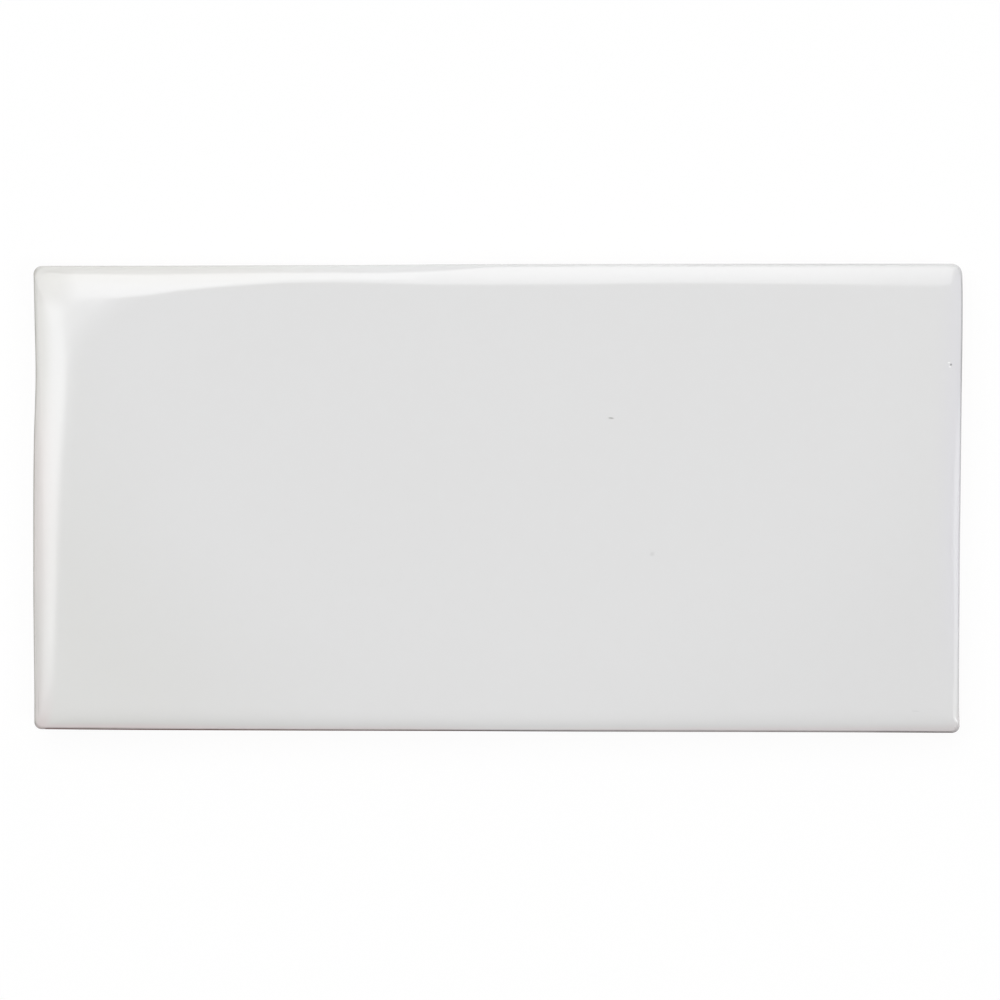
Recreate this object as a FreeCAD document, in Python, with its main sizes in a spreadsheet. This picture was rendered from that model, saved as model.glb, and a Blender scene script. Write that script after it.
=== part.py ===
import FreeCAD, Part
import Sketcher
import math
import os

# Subway wall tile, pressed and fired as one solid piece, in millimetres and degrees
# Frame: key ribs of the back on z = 0, glazed face up, length along x, centred on x and y

NODE = "wall_tile"
SHEET = "Sizes"

SIZES = {
    "face_length": 149.6,
    "face_width": 75.5,
    "thickness": 8.0,
    "corner_radius": 1.5,
    "cushion_width": 3.0,
    "cushion_drop": 0.9,
    "cushion_corner_radius": 2.0,
    "cushion_blend": 8.0,
    "edge_round": 0.9,
    "side_draft": 3.0,
    "back_arris": 0.5,
    "key_depth": 0.7,
    "key_rim": 5.0,
    "key_rib": 2.5,
    "key_cells_long": 8,
    "key_cells_wide": 4,
    "key_cell_radius": 1.5,
    "key_draft": 20.0,
}

QUARTER_TURN = 90.0

# Points closer to a level than this lie on it
LEVEL_TOLERANCE = 1e-4


def size(name):
    return "<<{}>>.{}".format(SHEET, name)


def key_cell(face, cells):
    # Side of one recessed cell: what the rims and the ribs leave, shared by the cells of a row
    span = "({} - 2 * {})".format(size(face), size("key_rim"))
    return "(({0} - ({1} - 1) * {2}) / {1})".format(span, size(cells), size("key_rib"))


def key_travel(face, cells):
    # Distance from the first cell of a row to the last
    return "(({} - 1) * ({} + {}))".format(size(cells), key_cell(face, cells), size("key_rib"))


BACK = "0"
WALL_TOP = "({} - {})".format(size("thickness"), size("cushion_drop"))
TRAVEL_LONG = key_travel("face_length", "key_cells_long")
TRAVEL_WIDE = key_travel("face_width", "key_cells_wide")

doc = FreeCAD.newDocument("subway_wall_tile")

sheet = doc.addObject("Spreadsheet::Sheet", SHEET)
for row, (name, value) in enumerate(SIZES.items(), start=1):
    cell = "B{}".format(row)
    sheet.set("A{}".format(row), name)
    sheet.set(cell, str(value))
    sheet.setAlias(cell, name)
doc.recompute()

body = doc.addObject("PartDesign::Body", NODE)
body.Label = NODE


def origin_feature(role):
    return next(item for item in body.Origin.OriginFeatures if item.Role == role)


def rounded_rectangle(name, length, width, radius, x="0", y="0", z="0"):
    # A rectangle with four equal corner arcs, centred on x and y and lying flat at height z
    sketch = body.newObject("Sketcher::SketchObject", name)
    sketch.AttachmentSupport = (origin_feature("XY_Plane"), "")
    sketch.MapMode = "FlatFace"
    sketch.setExpression("AttachmentOffset.Base.x", x)
    sketch.setExpression("AttachmentOffset.Base.y", y)
    sketch.setExpression("AttachmentOffset.Base.z", z)

    long_side = float(sketch.evalExpression(length))
    short_side = float(sketch.evalExpression(width))
    corner = float(sketch.evalExpression(radius))
    half_x = long_side / 2
    half_y = short_side / 2
    arc_x = half_x - corner
    arc_y = half_y - corner

    def line(start_x, start_y, end_x, end_y):
        start_point = FreeCAD.Vector(start_x, start_y, 0)
        end_point = FreeCAD.Vector(end_x, end_y, 0)
        return sketch.addGeometry(Part.LineSegment(start_point, end_point), False)

    def arc(centre_x, centre_y, quarter):
        circle = Part.Circle(FreeCAD.Vector(centre_x, centre_y, 0), FreeCAD.Vector(0, 0, 1), corner)
        first = math.radians(quarter * QUARTER_TURN)
        last = math.radians((quarter + 1) * QUARTER_TURN)
        return sketch.addGeometry(Part.ArcOfCircle(circle, first, last), False)

    right = line(half_x, -arc_y, half_x, arc_y)
    right_top = arc(arc_x, arc_y, 0)
    top = line(arc_x, half_y, -arc_x, half_y)
    left_top = arc(-arc_x, arc_y, 1)
    left = line(-half_x, arc_y, -half_x, -arc_y)
    left_bottom = arc(-arc_x, -arc_y, 2)
    bottom = line(-arc_x, -half_y, arc_x, -half_y)
    right_bottom = arc(arc_x, -arc_y, 3)

    start, end, centre = 1, 2, 3
    origin = (-1, start)
    loop = [right, right_top, top, left_top, left, left_bottom, bottom, right_bottom]
    for edge, following in zip(loop, loop[1:] + loop[:1]):
        sketch.addConstraint(Sketcher.Constraint("Tangent", edge, end, following, start))
    for side in (right, left):
        sketch.addConstraint(Sketcher.Constraint("Vertical", side))
    for side in (top, bottom):
        sketch.addConstraint(Sketcher.Constraint("Horizontal", side))
    for other in (left_top, left_bottom, right_bottom):
        sketch.addConstraint(Sketcher.Constraint("Equal", right_top, other))
    sketch.addConstraint(Sketcher.Constraint("Symmetric", right_top, centre, left_bottom, centre, *origin))

    driven = (
        ("length", length, Sketcher.Constraint("DistanceX", left, start, right, end, long_side)),
        ("width", width, Sketcher.Constraint("DistanceY", bottom, start, top, end, short_side)),
        ("radius", radius, Sketcher.Constraint("Radius", right_top, corner)),
    )
    for label, expression, constraint in driven:
        sketch.renameConstraint(sketch.addConstraint(constraint), label)
        sketch.setExpression("Constraints." + label, expression)
    return sketch


def level_edges(feature, height):
    # The closed ring of edges that a feature has at one height
    level = float(sheet.evalExpression(height))
    return [
        "Edge{}".format(index)
        for index, edge in enumerate(feature.Shape.Edges, start=1)
        if max(abs(edge.BoundBox.ZMin - level), abs(edge.BoundBox.ZMax - level)) < LEVEL_TOLERANCE
    ]


def cuts(feature, before):
    # Every rounding and recess has to take material away
    if feature.Shape.Volume >= before:
        raise RuntimeError(feature.Name + " removes no material")


def round_edges(name, base, height, radius):
    fillet = body.newObject("PartDesign::Fillet", name)
    fillet.Base = (base, level_edges(base, height))
    fillet.setExpression("Radius", radius)
    doc.recompute()
    cuts(fillet, base.Shape.Volume)
    return fillet


# Side walls, drawn at their widest level and drafted in towards the back
outline = rounded_rectangle(
    "outline", size("face_length"), size("face_width"), size("corner_radius"), z=WALL_TOP
)
wall = body.newObject("PartDesign::Pad", "wall")
wall.Profile = outline
wall.Reversed = True
wall.setExpression("Length", WALL_TOP)
wall.setExpression("TaperAngle", "-" + size("side_draft"))
doc.recompute()

# Cushioned edge: a slope up to the flat of the face, then rounded where it meets the face and the wall
face_outline = rounded_rectangle(
    "face_outline",
    length="{} - 2 * {}".format(size("face_length"), size("cushion_width")),
    width="{} - 2 * {}".format(size("face_width"), size("cushion_width")),
    radius=size("cushion_corner_radius"),
    z=size("thickness"),
)
slope = body.newObject("PartDesign::AdditiveLoft", "slope")
slope.Profile = outline
slope.Sections = [face_outline]
doc.recompute()
face_blend = round_edges("face_blend", slope, size("thickness"), size("cushion_blend"))
edge_round = round_edges("edge_round", face_blend, WALL_TOP, size("edge_round"))

# Arris broken off all round the back
arris = body.newObject("PartDesign::Chamfer", "arris")
arris.Base = (edge_round, level_edges(edge_round, BACK))
arris.setExpression("Size", size("back_arris"))
doc.recompute()
cuts(arris, edge_round.Shape.Volume)

# Keyed back: one recessed cell, repeated so that the ribs left between the cells form a lattice
cell_sketch = rounded_rectangle(
    "key_cell_outline",
    length=key_cell("face_length", "key_cells_long"),
    width=key_cell("face_width", "key_cells_wide"),
    radius=size("key_cell_radius"),
    x="-{} / 2".format(TRAVEL_LONG),
    y="-{} / 2".format(TRAVEL_WIDE),
)
key_recess = body.newObject("PartDesign::Pocket", "key_recess")
key_recess.Profile = cell_sketch
key_recess.Reversed = True
key_recess.setExpression("Length", size("key_depth"))
key_recess.setExpression("TaperAngle", "-" + size("key_draft"))
doc.recompute()
cuts(key_recess, arris.Shape.Volume)

key = body.newObject("PartDesign::LinearPattern", "key")
key.Originals = [key_recess]
key.Direction = (origin_feature("X_Axis"), [""])
key.Direction2 = (origin_feature("Y_Axis"), [""])
key.setExpression("Length", TRAVEL_LONG)
key.setExpression("Length2", TRAVEL_WIDE)
key.setExpression("Occurrences", size("key_cells_long"))
key.setExpression("Occurrences2", size("key_cells_wide"))
body.Tip = key
doc.recompute()
cuts(key, key_recess.Shape.Volume)

for item in doc.Objects:
    if "Invalid" in item.State or "Error" in item.State:
        raise RuntimeError(item.Name + " did not compute")
if body.Shape.isNull() or not body.Shape.isValid():
    raise RuntimeError(NODE + " is not a valid shape")
if len(body.Shape.Solids) != 1:
    raise RuntimeError(NODE + " is not one solid")

os.makedirs("parts", exist_ok=True)
body.Shape.exportStep(os.path.join("parts", NODE + ".step"))
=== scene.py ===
import math

import bpy
import numpy as np
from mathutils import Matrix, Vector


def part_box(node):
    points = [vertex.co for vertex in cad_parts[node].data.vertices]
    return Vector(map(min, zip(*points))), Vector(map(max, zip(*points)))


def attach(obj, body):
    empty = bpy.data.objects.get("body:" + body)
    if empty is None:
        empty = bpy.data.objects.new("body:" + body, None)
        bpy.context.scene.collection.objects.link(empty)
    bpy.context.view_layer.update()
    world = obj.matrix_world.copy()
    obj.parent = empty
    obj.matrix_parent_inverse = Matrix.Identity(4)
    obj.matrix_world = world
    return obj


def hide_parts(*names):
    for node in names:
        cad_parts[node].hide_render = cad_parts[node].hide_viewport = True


# Subway wall tile seen from straight above: a glazed ceramic tile with a cushioned edge and a keyed back.
# Sizes are in millimetres, apart from the floor and the height of the lamps, and the frame is the part's own.

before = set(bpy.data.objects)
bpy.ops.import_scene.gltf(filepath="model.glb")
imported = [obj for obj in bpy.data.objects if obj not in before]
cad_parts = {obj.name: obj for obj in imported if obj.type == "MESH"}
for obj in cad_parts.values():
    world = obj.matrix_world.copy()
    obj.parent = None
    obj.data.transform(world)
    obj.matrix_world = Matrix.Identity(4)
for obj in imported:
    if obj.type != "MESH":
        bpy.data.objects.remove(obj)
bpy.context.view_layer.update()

MM = 0.001
NODE = "wall_tile"

_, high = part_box(NODE)
HALF_LENGTH = high.x / MM
HALF_WIDTH = high.y / MM
THICKNESS = high.z / MM

# Plan corners: radii of the outline, left and right, and how they grow and fade again on the rings inside it
TOP_RADII = (1.4, 1.8)
BOTTOM_RADII = (1.15, 1.2)
CORNER_GROWTH = 0.8
TOP_LEFT_GROWTH = 1.6
CORNER_FULL = 5.0
CORNER_GONE = 25.0
LEAST_RADIUS = 1e-9
EIGHTH_TURN = math.pi / 4

# Inward bow of each side of this one fired tile: place along the side, then inset
BOW = {
    "left": (
        (-37.7, 0.29),
        (-32, 0.28),
        (-24, 0.17),
        (-15, 0.08),
        (0, 0.08),
        (9, 0.17),
        (20, 0.45),
        (29, 0.275),
        (37.7, 0.08),
    ),
    "right": (
        (-37.7, 0.46),
        (-34, 0.60),
        (-30, 0.61),
        (-18, 0.55),
        (-8, 0.47),
        (2, 0.34),
        (15, 0.22),
        (25, 0.09),
        (37.7, 0.0),
    ),
    "top": (
        (-74.8, 0.30),
        (-56, 0.29),
        (-35, 0.22),
        (-14, 0.155),
        (-6, 0.08),
        (20, 0.03),
        (50, 0.0),
        (74.8, 0.0),
    ),
    "bottom": (
        (-74.8, 0.61),
        (-64, 0.51),
        (-35, 0.38),
        (-10, 0.315),
        (7, 0.24),
        (32, 0.17),
        (61, 0.066),
        (74.8, 0.015),
    ),
}

# Cushion along each side: place, width to the flat, slope, run of the bend, then width and drop of the rim
CUSHION = {
    "left": (
        (-34, 4.4, 0.26, 3.0, 1.6, 0.80),
        (-16, 5.1, 0.34, 3.6, 1.8, 0.75),
        (0, 6.0, 0.42, 5.4, 1.8, 0.70),
        (16, 7.4, 0.45, 7.4, 1.0, 0.60),
        (24, 8.0, 0.45, 8.0, 0.8, 0.55),
        (32, 9.2, 0.40, 9.2, 0.8, 0.60),
    ),
    "right": (
        (-36, 1.9, 0.32, 1.2, 0.35, 0.85),
        (-28, 1.85, 0.22, 1.2, 0.35, 0.85),
        (0, 2.1, 0.22, 1.2, 0.35, 0.85),
        (24, 2.2, 0.09, 1.6, 0.35, 0.85),
        (31, 2.3, 0.10, 1.4, 0.35, 0.85),
        (36, 2.9, 0.36, 0.8, 0.35, 0.85),
    ),
    "top": (
        (-66, 10.4, 0.31, 9.0, 1.5, 0.90),
        (-56, 6.9, 0.30, 4.6, 1.45, 0.90),
        (-48, 4.8, 0.27, 2.0, 1.4, 0.90),
        (-32, 3.4, 0.26, 1.0, 1.4, 0.85),
        (-17, 3.6, 0.23, 1.0, 1.6, 0.72),
        (-8, 4.0, 0.19, 1.1, 1.4, 0.58),
        (-3, 4.0, 0.20, 1.1, 0.75, 0.68),
        (3, 4.0, 0.20, 1.1, 0.55, 0.75),
        (30, 3.8, 0.20, 1.1, 0.5, 0.75),
        (70, 4.2, 0.19, 1.1, 0.5, 0.75),
    ),
    "bottom": (
        (-60, 4.2, 0.44, 3.2, 0.36, 0.40),
        (0, 3.2, 0.42, 2.2, 0.34, 0.40),
        (60, 4.1, 0.42, 3.2, 0.34, 0.40),
    ),
}
PLACE, WIDTH, SLOPE, BEND, RIM, RIM_DROP = range(6)
MITRE_SHARPNESS = 5.0
CURL = 0.15

# Colours along each side: place along the side, share at the edge, and how far it reaches in
SHARE, REACH = 1, 2

# Painted shade close to the edge: a dark line along the rim, darkest along the bottom
PAINTED_RIM_SHADE = {
    "left": (
        (-36, 0.75, 0.39),
        (-24, 0.64, 0.39),
        (-2, 0.75, 0.45),
        (12, 0.62, 0.45),
        (34, 0.62, 0.45),
    ),
    "right": (
        (-36, 0.20, 0.45),
        (5, 0.40, 0.45),
        (33, 0.75, 0.50),
        (35, 0.68, 0.48),
        (36.6, 0.25, 0.45),
    ),
    "top": (
        (-72, 0.24, 0.45),
        (-20, 0.10, 0.45),
        (0, 0.08, 0.45),
        (40, 0.14, 0.45),
        (66, 0.24, 0.45),
        (73, 0.10, 0.45),
    ),
    "bottom": (
        (-74.3, 0.40, 0.50),
        (-72.3, 0.99, 0.55),
        (-58, 0.99, 0.50),
        (-45, 0.98, 0.46),
        (0, 0.97, 0.42),
        (35, 0.94, 0.46),
        (73, 0.92, 0.46),
        (74.5, 0.60, 0.45),
    ),
}

# Painted shade in a wider, fainter band along the edge
PAINTED_BAND_SHADE = {
    "left": (
        (-36, 0.12, 1.6),
        (-26, 0.14, 2.1),
        (-10, 0.07, 1.4),
        (0, 0.09, 1.3),
        (10, 0.06, 1.3),
        (22, 0.02, 1.3),
        (34, 0.02, 1.3),
    ),
    "right": (
        (-36, 0.0, 1.3),
        (34, 0.0, 1.3),
    ),
    "top": (
        (-72, 0.11, 1.3),
        (-50, 0.10, 1.3),
        (-32, 0.02, 1.3),
        (-10, 0.0, 1.3),
        (72, 0.02, 1.3),
    ),
    "bottom": (
        (-72, 0.07, 2.4),
        (-50, 0.05, 2.2),
        (-20, 0.04, 1.5),
        (20, 0.04, 1.4),
        (72, 0.09, 2.2),
    ),
}

# Tint of the white: cream above nought, cool below it
TINT = {
    "left": (
        (-36, 0.5, 4.0),
        (0, 0.9, 4.0),
        (34, 0.8, 5.0),
    ),
    "right": (
        (-36, 0.0, 6.0),
        (-20, -0.6, 6.0),
        (0, -0.8, 6.0),
        (30, -0.6, 6.0),
    ),
    "top": (
        (-72, 0.8, 6.0),
        (-40, 0.6, 6.0),
        (-15, 0.0, 6.0),
        (72, 0.0, 6.0),
    ),
    "bottom": (
        (-72, 0.5, 6.0),
        (-40, 0.2, 6.0),
        (72, 0.2, 6.0),
    ),
}

# Blush of the clay through the glaze
BLUSH = {
    "left": (
        (-37, 0.40, 4.5),
        (-24, 0.15, 4.5),
        (-10, 0.28, 5.5),
        (8, 0.28, 5.5),
        (20, 0.0, 5.5),
    ),
    "right": (
        (-37, 0.25, 1.2),
        (-33, 0.0, 1.2),
    ),
    "top": (
        (-74, 0.0, 1.0),
        (74, 0.0, 1.0),
    ),
    "bottom": (
        (-72, 1.0, 1.3),
        (-58, 0.9, 1.5),
        (-40, 0.7, 1.1),
        (-12, 0.6, 1.1),
        (4, 0.3, 1.0),
        (18, 0.5, 1.0),
        (74, 0.5, 1.8),
    ),
}

# How far the painted rim shade runs down the wall, and the share of it above which a strip along the edge is
# bare of glaze
PAINTED_RIM_SHADE_DEPTH = 0.12
BARE_ABOVE_RIM_SHADE = 0.76
BARE_REACH = 0.2

# Small faults in the glaze, with painted highlights beside the pit at the right and painted shade over the
# top-left corner: place, half sizes, turn in degrees, depth, then darkness, below nought if pale
FAULTS_AND_PAINTED_LIGHT = (
    (18.25, 12.8, 0.48, 0.16, -8.0, 0.020, 0.50),
    (25.1, -9.05, 0.42, 0.36, 20.0, 0.008, 0.13),
    (72.87, 21.42, 0.17, 0.20, 0.0, 0.060, 0.80),
    # Painted highlights either side of the pit
    (72.54, 21.75, 0.26, 0.12, 0.0, 0.0, -0.90),
    (72.69, 21.08, 0.24, 0.12, 0.0, 0.0, -0.80),
    (67.6, -34.2, 0.70, 0.10, -4.0, 0.006, 0.10),
    (-74.0, -33.6, 0.11, 2.90, 0.0, 0.010, 0.20),
    # Painted shade over the top-left corner
    (-71.5, 34.5, 3.60, 3.60, 0.0, 0.0, 0.12),
)
# In half sizes: a fault is full as far as its core and gone at its edge, and mesh lines cross the small ones
FAULT_CORE = 0.3
FAULT_EDGE = 1.3
FAULT_LINES = (-1.7, -1.3, -0.9, -0.45, 0.0, 0.45, 0.9, 1.3, 1.7)

# The face lies this far below the highest point, so that its waves stay inside the thickness
FACE_SINK = 0.04

# Waves of the fired face: height, run of a radian and phase along x, the same along y, sway of the crests
FACE_WAVES = (
    (0.003, 7.3, 0.0, 6.1, 1.3, 0.4),
    (0.008, 19.0, 0.7, 14.0, 2.1, 0.0),
)
SWAY_RUN = 9.0

# Side wall: draft towards the back, the lower limit of the glaze, the step at its end and the arris below
SIDE_DRAFT = math.radians(3.0)
GLAZE_LINE = 3.1
GLAZE_STEP = 0.18
BACK_ARRIS = 0.5

# Waves of the lower limit of the glaze: height, number round the tile, and phase
GLAZE_LINE_WAVES = (
    (0.35, 5, 0.6),
    (0.22, 17, 2.0),
    (0.12, 43, 1.1),
)

# Levels of the wall: shares down the glaze, heights and shares of the step at its end, shares down the body
GLAZE_SHARES = (0.12, 0.35, 0.65)
GLAZE_END = ((0.6, 0.0), (0.3, 0.0), (0.14, 0.12), (0.05, 0.4), (0.0, 0.8), (-0.08, 1.0))
BODY_SHARES = (0.4, 0.8, 1.0)
GLAZED_STRIPS = len(GLAZE_SHARES) + len(GLAZE_END) - 1

# Back key: recessed cells between raised ribs
KEY_DEPTH = 0.7
KEY_RIM = 5.0
KEY_RIB = 2.5
KEY_CELLS_LONG = 8
KEY_CELLS_WIDE = 4
KEY_CELL_RADIUS = 1.5
KEY_EDGE = 0.35

# Mesh lines: packed towards the edge, at the walls of the cells, and evenly on their floors
EDGE_LINES = 25
EDGE_PACKING = 1.8
CELL_EDGE_LINES = (-1.0, -0.5, 0.0, 0.5, 1.0)
FLOOR_SPACING = 1.4
LINE_CLEARANCE = 2.0
LEAST_SPACING = 0.012


def smoothstep(start, end, at):
    t = np.clip((at - start) / (end - start), 0.0, 1.0)
    return t * t * (3.0 - 2.0 * t)


def curve(points, at):
    # A smooth line through a few points, kept between the lowest and the highest of them
    xs, ys = np.array(points, float).T
    slopes = np.gradient(ys, xs)
    at = np.clip(at, xs[0], xs[-1])
    i = np.clip(np.searchsorted(xs, at) - 1, 0, len(xs) - 2)
    run = xs[i + 1] - xs[i]
    t = (at - xs[i]) / run
    keep = (1 + 2 * t) * (1 - t) ** 2
    leave = t * (1 - t) ** 2 * run * slopes[i]
    arrive = t ** 2 * (t - 1) * run * slopes[i + 1]
    line = keep * ys[i] + (1 - keep) * ys[i + 1] + leave + arrive
    return np.clip(line, ys.min(), ys.max())


def cell_edges(half, cells):
    # Start and end of each cell of a row
    span = 2 * (half - KEY_RIM)
    side = (span - (cells - 1) * KEY_RIB) / cells
    starts = -half + KEY_RIM + np.arange(cells) * (side + KEY_RIB)
    return [(start, start + side) for start in starts]


def mesh_lines(half, cells, faults):
    # Places of the grid lines across one axis, cleared round the small faults to make room for their own
    edge_reach = KEY_RIM - KEY_EDGE
    edge = edge_reach * (np.arange(EDGE_LINES) / EDGE_LINES) ** EDGE_PACKING
    lines = list(-half + edge) + list(half - edge)
    row = cell_edges(half, cells)
    for start, end in row:
        for offset in CELL_EDGE_LINES:
            lines.append(start + offset * KEY_EDGE)
            lines.append(end + offset * KEY_EDGE)
        floor = np.linspace(start + KEY_EDGE, end - KEY_EDGE, round((end - start) / FLOOR_SPACING))
        lines.extend(floor[1:-1])
    for (_, end), (start, _) in zip(row, row[1:]):
        lines.append((start + end) / 2)
    small = [(centre, reach) for centre, reach in faults if reach < FLOOR_SPACING]
    for centre, reach in small:
        lines = [line for line in lines if abs(line - centre) > LINE_CLEARANCE * reach]
    for centre, reach in small:
        lines.extend(centre + offset * reach for offset in FAULT_LINES)
    lines = np.array(sorted(lines))
    return lines[np.diff(lines, prepend=-np.inf) > LEAST_SPACING]


def corner_radius(ring, grid_x, grid_y):
    left = grid_x < 0
    outer = np.where(grid_y > 0, np.where(left, *TOP_RADII), np.where(left, *BOTTOM_RADII))
    growth = np.where(left & (grid_y > 0), TOP_LEFT_GROWTH, CORNER_GROWTH)
    grown = outer + growth * np.minimum(ring, CORNER_FULL)
    return grown * (1.0 - smoothstep(CORNER_FULL, CORNER_GONE, ring))


def ring_map(grid_x, grid_y):
    # Bends the square rings of a grid into rounded rectangles.
    # Also gives each point's distance from the edge, its share in the end sides and its outward direction.
    from_end = HALF_LENGTH - np.abs(grid_x)
    from_side = HALF_WIDTH - np.abs(grid_y)
    ring = np.minimum(from_end, from_side)
    along = np.abs(from_end - from_side)
    radius = np.maximum(corner_radius(ring, grid_x, grid_y), LEAST_RADIUS)
    share = np.clip(along / radius, 0.0, 1.0)
    turn = EIGHTH_TURN * (1.0 - share)
    near = ring + radius - radius * np.cos(turn)
    far = np.where(along < radius, ring + radius - radius * np.sin(turn), ring + along)
    at_end = from_end < from_side
    end_distance = np.where(at_end, near, far)
    side_distance = np.where(at_end, far, near)
    x = np.sign(grid_x) * (HALF_LENGTH - end_distance)
    y = np.sign(grid_y) * (HALF_WIDTH - side_distance)
    end_share = smoothstep(0.0, 1.0, np.where(at_end, 0.5 + share / 2, 0.5 - share / 2))
    out_x = np.sign(grid_x) * np.where(at_end, np.cos(turn), np.sin(turn))
    out_y = np.sign(grid_y) * np.where(at_end, np.sin(turn), np.cos(turn))
    return x, y, ring, end_share, out_x, out_y


def by_side(lines, x, y, end_share):
    # A value that runs along the sides, blended between the two that meet at a corner
    end = np.where(x < 0, curve(lines["left"], y), curve(lines["right"], y))
    side = np.where(y < 0, curve(lines["bottom"], x), curve(lines["top"], x))
    return end * end_share + side * (1.0 - end_share)


def along_sides(table, column, x, y, end_share):
    lines = {side: [(row[PLACE], row[column]) for row in rows] for side, rows in table.items()}
    return by_side(lines, x, y, end_share)


def edge_share(table, x, y, ring, end_share):
    # A share that is full at the edge and fades out over its reach
    share, reach = (along_sides(table, column, x, y, end_share) for column in (SHARE, REACH))
    return share * (1.0 - smoothstep(0.0, 1.0, ring / reach))


def slope_drop(x, y, distance, end_share):
    # Bends down from the flat, then runs to the rim, a little steeper on the way
    width, slope, bend = (along_sides(CUSHION, column, x, y, end_share) for column in (WIDTH, SLOPE, BEND))
    inward = np.clip(width - distance, 0.0, None)
    bent = slope * np.minimum(inward, bend) ** 3 / (3 * bend ** 2)
    beyond = np.clip(inward - bend, 0.0, None)
    return bent + slope * beyond * (1.0 + CURL * beyond / 2)


def cushion_drop(x, y, ring, end_share):
    # The slopes run into each other round the left corners and meet in a soft mitre at the right ones
    rounded = slope_drop(x, y, ring, end_share)
    end = slope_drop(x, y, HALF_LENGTH - np.abs(x), 1.0)
    side = slope_drop(x, y, HALF_WIDTH - np.abs(y), 0.0)
    mitred = (end ** MITRE_SHARPNESS + side ** MITRE_SHARPNESS) ** (1.0 / MITRE_SHARPNESS)
    rim, rim_drop = (along_sides(CUSHION, column, x, y, end_share) for column in (RIM, RIM_DROP))
    over = np.clip(1.0 - ring / rim, 0.0, 1.0)
    return np.where(x < 0, rounded, mitred) + rim_drop * (1.0 - np.sqrt(1.0 - over ** 2))


def stronger(first, second):
    return np.where(np.abs(second) > np.abs(first), second, first)


def fault_and_painted_light_shares(x, y):
    # Depth of the faults, and how dark or pale each is, with the painted highlights and the painted shade
    # among them
    depth = np.zeros_like(x)
    painted_light_and_specks = np.zeros_like(x)
    for place_x, place_y, half_length, half_width, turn, deep, dark in FAULTS_AND_PAINTED_LIGHT:
        angle = math.radians(turn)
        along = (x - place_x) * math.cos(angle) + (y - place_y) * math.sin(angle)
        across = (y - place_y) * math.cos(angle) - (x - place_x) * math.sin(angle)
        off_centre = np.hypot(along / half_length, across / half_width)
        inside = 1.0 - smoothstep(FAULT_CORE, FAULT_EDGE, off_centre)
        depth = depth + deep * inside
        painted_light_and_specks = stronger(painted_light_and_specks, dark * inside)
    return depth, painted_light_and_specks


def face_waves(x, y):
    lift = np.zeros_like(x)
    for height, run_x, phase_x, run_y, phase_y, sway in FACE_WAVES:
        wave_x = np.sin(x / run_x + phase_x + sway * np.sin(y / SWAY_RUN))
        wave_y = np.sin(y / run_y + phase_y)
        lift = lift + height * (wave_x * wave_y)
    return lift


def cell_depth(x, y):
    # Depth of the back: rounded cells with soft walls
    depth = np.zeros_like(x)
    for start_x, end_x in cell_edges(HALF_LENGTH, KEY_CELLS_LONG):
        for start_y, end_y in cell_edges(HALF_WIDTH, KEY_CELLS_WIDE):
            off_x = np.abs(x - (start_x + end_x) / 2) - (end_x - start_x) / 2 + KEY_CELL_RADIUS
            off_y = np.abs(y - (start_y + end_y) / 2) - (end_y - start_y) / 2 + KEY_CELL_RADIUS
            outside = np.hypot(np.maximum(off_x, 0), np.maximum(off_y, 0))
            distance = KEY_CELL_RADIUS - outside - np.minimum(np.maximum(off_x, off_y), 0)
            depth = np.maximum(depth, KEY_DEPTH * smoothstep(-KEY_EDGE, KEY_EDGE, distance))
    return depth


def bow(x, y):
    # Moves points inwards with the bowed sides
    across = (x + HALF_LENGTH) / (2 * HALF_LENGTH)
    up = (y + HALF_WIDTH) / (2 * HALF_WIDTH)
    moved_x = x + (1 - across) * curve(BOW["left"], y) - across * curve(BOW["right"], y)
    moved_y = y + (1 - up) * curve(BOW["bottom"], x) - up * curve(BOW["top"], x)
    return moved_x, moved_y


def glaze_line(edge_x, edge_y):
    # Height of the lower limit of the glaze, which waves on its way round the tile
    perimeter = np.cumsum(np.hypot(edge_x - np.roll(edge_x, 1), edge_y - np.roll(edge_y, 1)))
    round_trip = 2 * math.pi * perimeter / perimeter[-1]
    line_z = GLAZE_LINE
    for height, number, phase in GLAZE_LINE_WAVES:
        line_z = line_z + height * np.sin(number * round_trip + phase)
    return line_z


def wall_levels(edge_z, line_z):
    # Heights and shares of the step, down the glaze, over its rounded end and down the bare body to the arris
    end_top = GLAZE_END[0][0]
    levels = [(edge_z + share * (line_z + end_top - edge_z), 0.0) for share in GLAZE_SHARES]
    levels += [(line_z + above, step) for above, step in GLAZE_END]
    levels += [(line_z * (1 - share) + BACK_ARRIS * share, 1.0) for share in BODY_SHARES]
    return levels


def as_points(x, y, z):
    return np.stack([x.ravel(), y.ravel(), z.ravel()], axis=1)


def border_order(count_x, count_y):
    # Grid positions round the edge, anticlockwise seen from above
    first = [(i, 0) for i in range(count_x - 1)]
    second = [(count_x - 1, j) for j in range(count_y - 1)]
    third = [(i, count_y - 1) for i in range(count_x - 1, 0, -1)]
    fourth = [(0, j) for j in range(count_y - 1, 0, -1)]
    return np.array(first + second + third + fourth)


def grid_faces(count_x, count_y, offset, upward):
    index = offset + np.arange(count_x * count_y).reshape(count_x, count_y)
    corners = [index[:-1, :-1], index[1:, :-1], index[1:, 1:], index[:-1, 1:]]
    faces = np.stack([corner.ravel() for corner in corners], axis=1)
    return faces if upward else faces[:, ::-1]


def strip_faces(upper, lower):
    return np.stack([upper, lower, np.roll(lower, -1), np.roll(upper, -1)], axis=1)


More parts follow.
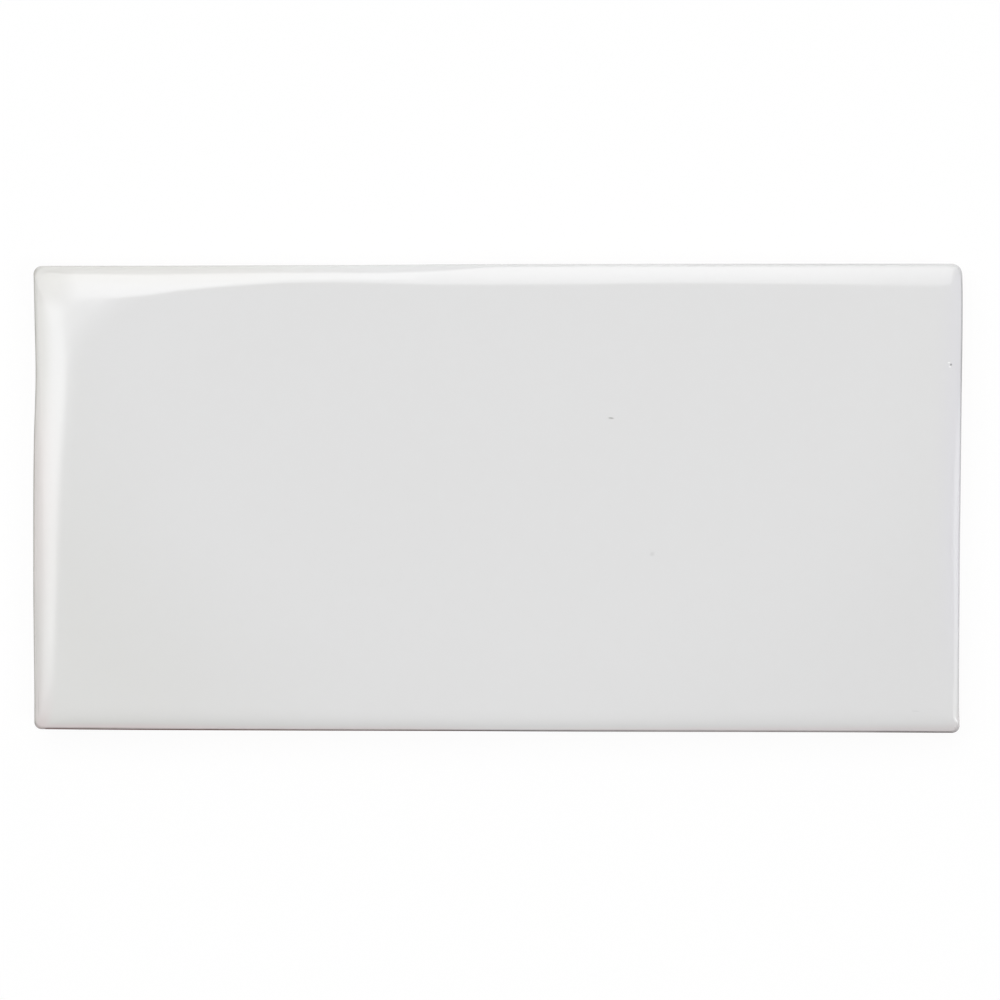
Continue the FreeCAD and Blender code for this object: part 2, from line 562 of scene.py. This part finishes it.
def tile_faces(count_x, count_y, border, level_count):
    # Faces of the top, of the strips down the wall and over the arris, and of the back
    grid_size = count_x * count_y
    back_offset = grid_size + level_count * len(border)
    border_index = border[:, 0] * count_y + border[:, 1]
    loops = [border_index]
    for number in range(level_count):
        loops.append(grid_size + number * len(border) + np.arange(len(border)))
    loops.append(back_offset + border_index)
    top = grid_faces(count_x, count_y, 0, upward=True)
    strips = [strip_faces(upper, lower) for upper, lower in zip(loops, loops[1:])]
    back = grid_faces(count_x, count_y, back_offset, upward=False)
    return top, strips, back


def tile_mesh():
    # Vertices, faces, which faces are bare of glaze, and the shades of the vertices
    faults_x = [(place_x, half_x) for place_x, _, half_x, *_ in FAULTS_AND_PAINTED_LIGHT]
    faults_y = [(place_y, half_y) for _, place_y, _, half_y, *_ in FAULTS_AND_PAINTED_LIGHT]
    lines_x = mesh_lines(HALF_LENGTH, KEY_CELLS_LONG, faults_x)
    lines_y = mesh_lines(HALF_WIDTH, KEY_CELLS_WIDE, faults_y)
    grid_x, grid_y = np.meshgrid(lines_x, lines_y, indexing="ij")
    count_x, count_y = grid_x.shape

    # Glazed face and cushion
    x, y, ring, end_share, out_x, out_y = ring_map(grid_x, grid_y)
    fault_depth, fault_specks_and_painted_light = fault_and_painted_light_shares(x, y)
    drop = cushion_drop(x, y, ring, end_share) + fault_depth
    top_z = THICKNESS - FACE_SINK - drop + face_waves(x, y)
    # Painted shade along the rim and in a wider band, then the cream and cool tints and the blush of the clay
    painted_rim_shade, painted_band_shade, tint, blush = (
        edge_share(table, x, y, ring, end_share) for table in (PAINTED_RIM_SHADE, PAINTED_BAND_SHADE, TINT, BLUSH)
    )
    points = [as_points(x, y, top_z)]
    # The first shade holds the painted shade, the painted highlights and the dark specks
    shades = {
        "painted_light_and_specks": [stronger(np.maximum(painted_rim_shade, painted_band_shade), fault_specks_and_painted_light).ravel()],
        "tint": [tint.ravel()],
        "blush": [blush.ravel()],
    }

    # Side wall, one loop of points a level
    border = border_order(count_x, count_y)
    edge = (border[:, 0], border[:, 1])
    edge_x, edge_y, edge_z = x[edge], y[edge], top_z[edge]
    levels = wall_levels(edge_z, glaze_line(edge_x, edge_y))
    for level_z, step in levels:
        wall_inset = np.tan(SIDE_DRAFT) * (edge_z - level_z) + GLAZE_STEP * step
        loop_x = edge_x - out_x[edge] * wall_inset
        loop_y = edge_y - out_y[edge] * wall_inset
        points.append(as_points(loop_x, loop_y, level_z))
        # The painted rim shade runs a little way down the wall
        shades["painted_light_and_specks"].append(painted_rim_shade[edge] * np.clip(1.0 - (edge_z - level_z) / PAINTED_RIM_SHADE_DEPTH, 0.0, 1.0))
        shades["tint"].append(tint[edge])
        shades["blush"].append(blush[edge])

    # Back, drawn in at its edge by the lowest level and the arris
    back_inset = wall_inset + BACK_ARRIS
    fade = np.clip(1.0 - ring / (KEY_RIM - KEY_EDGE), 0.0, 1.0)
    pull = np.mean(back_inset) * fade
    pull[edge] = back_inset
    back_x = x - out_x * pull
    back_y = y - out_y * pull
    points.append(as_points(back_x, back_y, cell_depth(back_x, back_y)))
    for values in shades.values():
        values.append(np.zeros(back_x.size))

    top, strips, back = tile_faces(count_x, count_y, border, len(levels))
    # Faces along the edge where the painted rim shade is strongest are bare of glaze, and carry it as a dark
    # bare edge
    painted_rim_shade_at_edge = along_sides(PAINTED_RIM_SHADE, SHARE, x, y, end_share) * (ring < BARE_REACH)
    bare = [painted_rim_shade_at_edge.ravel()[top].min(axis=1) > BARE_ABOVE_RIM_SHADE]
    bare += [np.full(len(strip), number >= GLAZED_STRIPS) for number, strip in enumerate(strips)]
    bare.append(np.ones(len(back), bool))

    vertices = np.concatenate(points)
    vertices[:, 0], vertices[:, 1] = bow(vertices[:, 0], vertices[:, 1])
    faces = np.concatenate([top, *strips, back])
    shades = {name: np.concatenate(values) for name, values in shades.items()}
    return vertices * MM, faces, np.concatenate(bare).astype(int), shades


class Nodes:
    # Adds nodes to a tree: settings by name, and inputs by socket, as values or as other nodes' outputs

    def __init__(self, tree):
        self.tree = tree

    def add(self, kind, inputs=None, **settings):
        node = self.tree.nodes.new("ShaderNode" + kind)
        for name, value in settings.items():
            setattr(node, name, value)
        for socket, value in (inputs or {}).items():
            self.plug(node.inputs[socket], value)
        return node

    def plug(self, socket, value):
        if isinstance(value, bpy.types.NodeSocket):
            self.tree.links.new(value, socket)
        else:
            socket.default_value = value

    def combine(self, operation, first, second):
        return self.add("Math", {0: first, 1: second}, operation=operation).outputs[0]

    def ramp(self, value, start, end, low=0.0, high=1.0):
        inputs = {"Value": value, "From Min": start, "From Max": end, "To Min": low, "To Max": high}
        return self.add("MapRange", inputs, interpolation_type="SMOOTHSTEP").outputs["Result"]

    def span(self, value, start, end):
        # A ramp between two distances in millimetres
        return self.ramp(value, start * MM, end * MM)

    def noise(self, place, size, detail):
        inputs = {"Vector": place, "Scale": 1.0 / (size * MM), "Detail": detail}
        return self.add("TexNoise", inputs).outputs[0]

    def attribute(self, name):
        return self.add("Attribute", attribute_name=name).outputs["Fac"]

    def bump(self, height, strength, distance):
        inputs = {"Height": height, "Strength": strength, "Distance": distance * MM}
        return self.add("Bump", inputs).outputs[0]

    def mix(self, share, first, second, blend="MIX"):
        node = self.add("Mix", data_type="RGBA", blend_type=blend)
        colours = [socket for socket in node.inputs if socket.type == "RGBA"]
        self.plug(node.inputs[0], share)
        self.plug(colours[0], first)
        self.plug(colours[1], second)
        return next(socket for socket in node.outputs if socket.type == "RGBA")


def new_object(name, vertices, faces):
    mesh = bpy.data.meshes.new(name)
    mesh.from_pydata(vertices.tolist(), [], faces.tolist())
    mesh.update()
    made = bpy.data.objects.new(name, mesh)
    bpy.context.scene.collection.objects.link(made)
    return made


def new_material(name):
    material = bpy.data.materials.new(name)
    material.use_nodes = True
    tree = material.node_tree
    return material, Nodes(tree), tree.nodes["Principled BSDF"]


def grey(level, warmth=0.0):
    return (level * (1.0 + warmth), level, level * (1.0 - warmth), 1.0)


# Glaze: linear colours
WHITE = grey(0.745)
# Painted shade towards the lower corners, warmer at the left
PAINTED_SHADE_WHITE = grey(0.719)
PAINTED_SHADE_LEFT_WHITE = (0.713, 0.713, 0.700, 1)
CREAM = (0.745, 0.737, 0.711, 1)
COOL_WHITE = (0.722, 0.717, 0.748, 1)
CLAY_BLUSH = (0.735, 0.640, 0.645, 1)
DULL_CLOUD = grey(0.994)
CLEAR_CLOUD = grey(1.0, -0.001)
# Painted highlight beside the pit
PAINTED_HIGHLIGHT_FLECK = grey(0.95)
# Dark colour of the specks and of the painted shade along the rim, left and right
SPECK_AND_PAINTED_SHADE_LEFT = (0.125, 0.116, 0.085, 1)
SPECK_AND_PAINTED_SHADE_RIGHT = (0.130, 0.130, 0.135, 1)

# Glaze: the place where the white is unshaded, the distances from there over which painted shade darkens it,
# and where colours turn along x
UNSHADED_PLACE = (2, 40)
PAINTED_SHADE_SPAN = (60, 96)
PAINTED_SHADE_TURN = (0, -75)
SPECK_AND_PAINTED_SHADE_TURN = (-20, 70)

# Glaze: size and detail of each noise, the range of it that counts, and the levels it is brought to
CLOUD_NOISE = (18.0, 2.0)
MOTTLE_NOISE = (2.5, 3.0)
CLOUD_RANGE = (0.7, 1.3)
SPECK_AND_PAINTED_SHADE_NOISE = (6.0, 3.0)
SPECK_AND_PAINTED_SHADE_RANGE = (0.2, 0.8, 0.8, 1.15)
GLOSS_NOISE = (9.0, 3.0)
GLOSS_RANGE = (0.3, 0.7, 0.06, 0.09)
RIPPLE_NOISE = (3.0, 2.0)

# Glaze: strength and height of the ripples, and refraction
RIPPLE_STRENGTH = 0.05
RIPPLE_HEIGHT = 0.05
GLAZE_IOR = 1.5


def glaze_material():
    material, nodes, shader = new_material("white_glaze")
    place = nodes.add("TexCoord").outputs["Object"]
    along = nodes.add("SeparateXYZ", {0: place}).outputs[0]

    # Painted shade: the white darkens a little towards the lower corners, and is warmer at the left
    unshaded_point = (UNSHADED_PLACE[0] * MM, UNSHADED_PLACE[1] * MM, THICKNESS * MM)
    shade_distance = nodes.add("VectorMath", {0: place, 1: unshaded_point}, operation="DISTANCE").outputs["Value"]
    deep = nodes.mix(nodes.span(along, *PAINTED_SHADE_TURN), PAINTED_SHADE_WHITE, PAINTED_SHADE_LEFT_WHITE)
    white = nodes.mix(nodes.span(shade_distance, *PAINTED_SHADE_SPAN), WHITE, deep)

    # Cream, cool and reddish along the sides
    tint = nodes.attribute("tint")
    white = nodes.mix(nodes.ramp(tint, 0.0, 1.0), white, CREAM)
    white = nodes.mix(nodes.ramp(tint, 0.0, -1.0), white, COOL_WHITE)
    white = nodes.mix(nodes.attribute("blush"), white, CLAY_BLUSH)

    # Clouding at two scales
    clouds = nodes.combine("ADD", nodes.noise(place, *CLOUD_NOISE), nodes.noise(place, *MOTTLE_NOISE))
    clouded = nodes.mix(nodes.ramp(clouds, *CLOUD_RANGE), DULL_CLOUD, CLEAR_CLOUD)
    white = nodes.mix(1.0, white, clouded, "MULTIPLY")

    # Painted highlights as pale flecks beside the pit; a dark colour, broken by noise, for the dark specks
    # and for the painted shade at the rim, in the band and over the top-left corner
    painted_light_and_specks = nodes.attribute("painted_light_and_specks")
    white = nodes.mix(nodes.ramp(painted_light_and_specks, 0.0, -1.0), white, PAINTED_HIGHLIGHT_FLECK)
    body = nodes.mix(nodes.span(along, *SPECK_AND_PAINTED_SHADE_TURN), SPECK_AND_PAINTED_SHADE_LEFT, SPECK_AND_PAINTED_SHADE_RIGHT)
    broken = nodes.ramp(nodes.noise(place, *SPECK_AND_PAINTED_SHADE_NOISE), *SPECK_AND_PAINTED_SHADE_RANGE)
    colour = nodes.mix(nodes.combine("MULTIPLY", painted_light_and_specks, broken), white, body)
    nodes.plug(shader.inputs["Base Color"], colour)

    roughness = nodes.ramp(nodes.noise(place, *GLOSS_NOISE), *GLOSS_RANGE)
    ripple = nodes.bump(nodes.noise(place, *RIPPLE_NOISE), RIPPLE_STRENGTH, RIPPLE_HEIGHT)
    nodes.plug(shader.inputs["Roughness"], roughness)
    nodes.plug(shader.inputs["Normal"], ripple)
    shader.inputs["IOR"].default_value = GLAZE_IOR
    return material


# Bare body: linear colours
DEEP_CLAY = (0.52, 0.385, 0.300, 1)
PALE_CLAY = (0.62, 0.480, 0.385, 1)
DARK_GRAIN = grey(0.86)
BRIGHT_GRAIN = grey(1.06)
DARK_GROG = (0.20, 0.12, 0.09, 1)
PALE_GROG = (0.80, 0.72, 0.64, 1)
# Painted shade along the bare edge, left and right, and paler over a stretch
PAINTED_SHADE_EDGE_LEFT = (0.150, 0.075, 0.068, 1)
PAINTED_SHADE_EDGE_RIGHT = (0.110, 0.085, 0.082, 1)
PALER_PAINTED_SHADE_EDGE = (0.370, 0.345, 0.335, 1)

# Bare body: size and detail of each noise, the range of it that counts, and the finish
CLAY_NOISE = (14.0, 4.0)
GRAIN_NOISE = (0.5, 4.0)
CLAY_RANGE = (0.3, 0.7)
CLAY_ROUGHNESS = (0.80, 0.95)
CLAY_SPECULAR = 0.15

# Grog: spacing of the grains, how their rims fade, the draw above which one is there, and how much it covers
GROG_SPACING = 1.6
GROG_FADE = (0.20, 0.10)
DARK_GROG_DRAW = 0.80
PALE_GROG_DRAW = 0.75
DARK_GROG_COVER = 0.6
PALE_GROG_COVER = 0.5

# Relief of the bare body: how far the dark grains sink, then the strength and height of the pores
GROG_RELIEF = -0.6
PORE_STRENGTH = 0.5
PORE_HEIGHT = 0.12

# Painted shade on the bare edge: where its colour turns along x, start and end of the paler stretch, and the
# range of the painted shade share that brings it in
EDGE_TURN = (-45, 5)
PALER_START = (2, 44)
PALER_END = (69, 54)
PAINTED_EDGE_SHADE_RANGE = (0.0, 0.6)


def bisque_material():
    material, nodes, shader = new_material("bare_body")
    place = nodes.add("TexCoord").outputs["Object"]
    along = nodes.add("SeparateXYZ", {0: place}).outputs[0]

    # Clouds and fine grain
    clouds = nodes.ramp(nodes.noise(place, *CLAY_NOISE), *CLAY_RANGE)
    fine = nodes.noise(place, *GRAIN_NOISE)
    grain = nodes.ramp(fine, *CLAY_RANGE)
    clay = nodes.mix(clouds, DEEP_CLAY, PALE_CLAY)
    clay = nodes.mix(1.0, clay, nodes.mix(grain, DARK_GRAIN, BRIGHT_GRAIN), "MULTIPLY")

    # Scattered grog: dark and pale grains
    cells = nodes.add("TexVoronoi", {"Vector": place, "Scale": 1.0 / (GROG_SPACING * MM)})
    spot = nodes.ramp(cells.outputs["Distance"], *GROG_FADE)
    draws = nodes.add("SeparateColor", {0: cells.outputs["Color"]}).outputs
    dark = nodes.combine("MULTIPLY", spot, nodes.combine("GREATER_THAN", draws[0], DARK_GROG_DRAW))
    pale = nodes.combine("MULTIPLY", spot, nodes.combine("GREATER_THAN", draws[1], PALE_GROG_DRAW))
    clay = nodes.mix(nodes.combine("MULTIPLY", dark, DARK_GROG_COVER), clay, DARK_GROG)
    clay = nodes.mix(nodes.combine("MULTIPLY", pale, PALE_GROG_COVER), clay, PALE_GROG)

    # Painted shade: the bare edge is dark, less so over a stretch right of the middle
    stretch = nodes.combine("MULTIPLY", nodes.span(along, *PALER_START), nodes.span(along, *PALER_END))
    edge = nodes.mix(nodes.span(along, *EDGE_TURN), PAINTED_SHADE_EDGE_LEFT, PAINTED_SHADE_EDGE_RIGHT)
    edge = nodes.mix(stretch, edge, PALER_PAINTED_SHADE_EDGE)
    clay = nodes.mix(nodes.ramp(nodes.attribute("painted_light_and_specks"), *PAINTED_EDGE_SHADE_RANGE), clay, edge)
    nodes.plug(shader.inputs["Base Color"], clay)

    relief = nodes.combine("ADD", fine, nodes.combine("MULTIPLY", dark, GROG_RELIEF))
    nodes.plug(shader.inputs["Roughness"], nodes.ramp(grain, 0.0, 1.0, *CLAY_ROUGHNESS))
    nodes.plug(shader.inputs["Normal"], nodes.bump(relief, PORE_STRENGTH, PORE_HEIGHT))
    shader.inputs["Specular IOR Level"].default_value = CLAY_SPECULAR
    return material


vertices, faces, bare, shades = tile_mesh()
tile = new_object("glazed_tile", vertices, faces)
for name, values in shades.items():
    tile.data.attributes.new(name, "FLOAT", "POINT").data.foreach_set("value", values)
tile.data.materials.append(glaze_material())
tile.data.materials.append(bisque_material())
tile.data.polygons.foreach_set("material_index", bare)
tile.data.polygons.foreach_set("use_smooth", np.ones(len(faces), bool))
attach(tile, "root")
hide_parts(NODE)

# Stage, in metres: side of the floor and height of the lamps
FLOOR_SIZE = 3.0
LAMP_HEIGHT = 3.0

# Floor: gap below the tile, colour, and the share of plain white that it shows to the eye and in reflections
FLOOR_DROP = 0.05
FLOOR_COLOUR = grey(0.95)
FLOOR_ROUGHNESS = 0.9
FLOOR_GLOW = 0.93

# Camera: the width and centre of the view at the rim of the tile, and the rim's depth below the face
VIEW_WIDTH = 160.8
VIEW_CENTRE = (0.386, -0.282)
RIM_DEPTH = 1.6
LENS = 150.0
SENSOR = 36.0

# Softboxes: the tangents of the angles from the zenith that each spans along x and y, and its radiance
MAIN_X = (-1.60, 0.40)
MAIN_Y = (-0.09, 0.95)
MAIN_RADIANCE = 4.05
FILL_X = (0.30, 0.85)
FILL_Y = (-0.40, 0.14)
FILL_RADIANCE = 1.86

# Masks of the softboxes, in the same tangents: start and end of a change, then the levels it runs between

# Top arm of the main one, with its right part in an inner and an outer level
TOP_ARM = (0.15, 0.23)
RIGHT_INNER = (0.10, 0.14, 0.53, 0.27)
RIGHT_OUTER = (0.10, 0.14, 0.87, 0.62)
INNER_TO_OUTER = (0.46, 0.62)
LEFT_PART = (0.45, 0.60, 0.92, 0.80)
RIGHT_TO_LEFT = (-0.07, -0.11)

# Left arm of the main one, and the dimmer corner between the arms
LEFT_ARM = (-0.12, -0.30)
CORNER_ACROSS = (-0.20, -0.45)
CORNER_UP = (0.08, 0.32)
CORNER_DIM = (0.0, 1.0, 1.0, 0.45)

# Fades of the main one towards its ends
FADES_ACROSS = ((-1.00, -0.38, 0.22, 1.0), (-1.60, -1.30), (0.40, 0.14))
FADES_UP = ((-0.072, -0.028), (-0.005, 0.02, 0.82, 1.0), (0.95, 0.85))

# Fill: the lower and the upper part either side of its gap, and the rise towards its lower end
FILL_LOWER = (0.030, 0.0)
FILL_UPPER = (0.035, 0.055, 0.0, 0.65)
FILL_RISE = (-0.10, -0.20, 1.0, 3.2)

# Sky, brighter at the far side than at the near one
SKY_COLOUR = grey(1.0)
SKY_NEAR = 0.242
SKY_FAR = 0.655


def make_floor():
    half = FLOOR_SIZE / 2
    low = -FLOOR_DROP * MM
    corners = np.array([(-half, -half, low), (half, -half, low), (half, half, low), (-half, half, low)])
    floor = new_object("floor", corners, np.array([(0, 1, 2, 3)]))
    material, nodes, shader = new_material("pale_floor")
    shader.inputs["Base Color"].default_value = FLOOR_COLOUR
    shader.inputs["Roughness"].default_value = FLOOR_ROUGHNESS
    shader.inputs["Specular IOR Level"].default_value = 0.0
    glow = nodes.add("Emission", {"Strength": 1.0})
    path = nodes.add("LightPath").outputs
    seen = nodes.combine("MAXIMUM", path["Is Camera Ray"], path["Is Glossy Ray"])
    seen = nodes.combine("MAXIMUM", seen, path["Is Transmission Ray"])
    share = nodes.combine("MULTIPLY", seen, FLOOR_GLOW)
    mix = nodes.add("MixShader", {0: share, 1: shader.outputs[0], 2: glow.outputs[0]})
    nodes.plug(nodes.tree.nodes["Material Output"].inputs["Surface"], mix.outputs[0])
    floor.data.materials.append(material)


def make_softbox(name, reach_x, reach_y, radiance):
    # A level panel overhead
    data = bpy.data.lights.new(name, "AREA")
    data.shape = "RECTANGLE"
    data.size = (reach_x[1] - reach_x[0]) * LAMP_HEIGHT
    data.size_y = (reach_y[1] - reach_y[0]) * LAMP_HEIGHT
    data.energy = radiance * math.pi * data.size * data.size_y
    lamp = bpy.data.objects.new(name, data)
    lamp.location = (sum(reach_x) / 2 * LAMP_HEIGHT, sum(reach_y) / 2 * LAMP_HEIGHT, LAMP_HEIGHT)
    lamp.visible_camera = False
    bpy.context.scene.collection.objects.link(lamp)
    return data


def lamp_nodes(data):
    # Nodes of a lamp, and the place on its panel along x, y and z
    data.use_nodes = True
    nodes = Nodes(data.node_tree)
    place = nodes.add("NewGeometry").outputs["Position"]
    return nodes, nodes.add("SeparateXYZ", {0: place}).outputs


def shade_main(data):
    # Masks the panel to an L, open above the tile, and fades it at the ends
    nodes, axes = lamp_nodes(data)
    across = nodes.combine("DIVIDE", axes[0], LAMP_HEIGHT)
    up = nodes.combine("DIVIDE", axes[1], LAMP_HEIGHT)
    inner = nodes.ramp(across, *RIGHT_INNER)
    outer = nodes.ramp(across, *RIGHT_OUTER)
    right = nodes.ramp(up, *INNER_TO_OUTER, inner, outer)
    left = nodes.ramp(up, *LEFT_PART)
    level = nodes.ramp(across, *RIGHT_TO_LEFT, right, left)
    top_arm = nodes.combine("MULTIPLY", nodes.ramp(up, *TOP_ARM), level)
    strength = nodes.combine("MAXIMUM", top_arm, nodes.ramp(across, *LEFT_ARM))
    corner = nodes.combine("MULTIPLY", nodes.ramp(across, *CORNER_ACROSS), nodes.ramp(up, *CORNER_UP))
    fades = [nodes.ramp(corner, *CORNER_DIM)]
    fades += [nodes.ramp(across, *fade) for fade in FADES_ACROSS]
    fades += [nodes.ramp(up, *fade) for fade in FADES_UP]
    for fade in fades:
        strength = nodes.combine("MULTIPLY", strength, fade)
    nodes.plug(data.node_tree.nodes["Emission"].inputs["Strength"], strength)


def shade_fill(data):
    # Leaves a dark gap across the panel, so that only the two ends of the right edge shine
    nodes, axes = lamp_nodes(data)
    up = nodes.combine("DIVIDE", axes[1], LAMP_HEIGHT)
    strength = nodes.combine("MAXIMUM", nodes.ramp(up, *FILL_LOWER), nodes.ramp(up, *FILL_UPPER))
    strength = nodes.combine("MULTIPLY", strength, nodes.ramp(up, *FILL_RISE))
    nodes.plug(data.node_tree.nodes["Emission"].inputs["Strength"], strength)


def make_world():
    world = bpy.data.worlds.new("studio")
    world.use_nodes = True
    nodes = Nodes(world.node_tree)
    direction = nodes.add("TexCoord").outputs["Generated"]
    axes = nodes.add("SeparateXYZ", {0: direction}).outputs
    background = world.node_tree.nodes["Background"]
    background.inputs["Color"].default_value = SKY_COLOUR
    level = nodes.add("MapRange", {"Value": axes[1], "From Min": -1.0, "To Min": SKY_NEAR, "To Max": SKY_FAR})
    nodes.plug(background.inputs["Strength"], level.outputs["Result"])
    bpy.context.scene.world = world


def make_camera():
    data = bpy.data.cameras.new("camera")
    data.lens = LENS
    data.sensor_width = SENSOR
    camera = bpy.data.objects.new("camera", data)
    rim_height = THICKNESS - RIM_DEPTH
    distance = VIEW_WIDTH * LENS / SENSOR
    camera.location = (VIEW_CENTRE[0] * MM, VIEW_CENTRE[1] * MM, (rim_height + distance) * MM)
    bpy.context.scene.collection.objects.link(camera)
    bpy.context.scene.camera = camera


make_floor()
shade_main(make_softbox("main_softbox", MAIN_X, MAIN_Y, MAIN_RADIANCE))
shade_fill(make_softbox("fill_softbox", FILL_X, FILL_Y, FILL_RADIANCE))
make_world()
make_camera()
bpy.context.scene.view_settings.view_transform = "Standard"
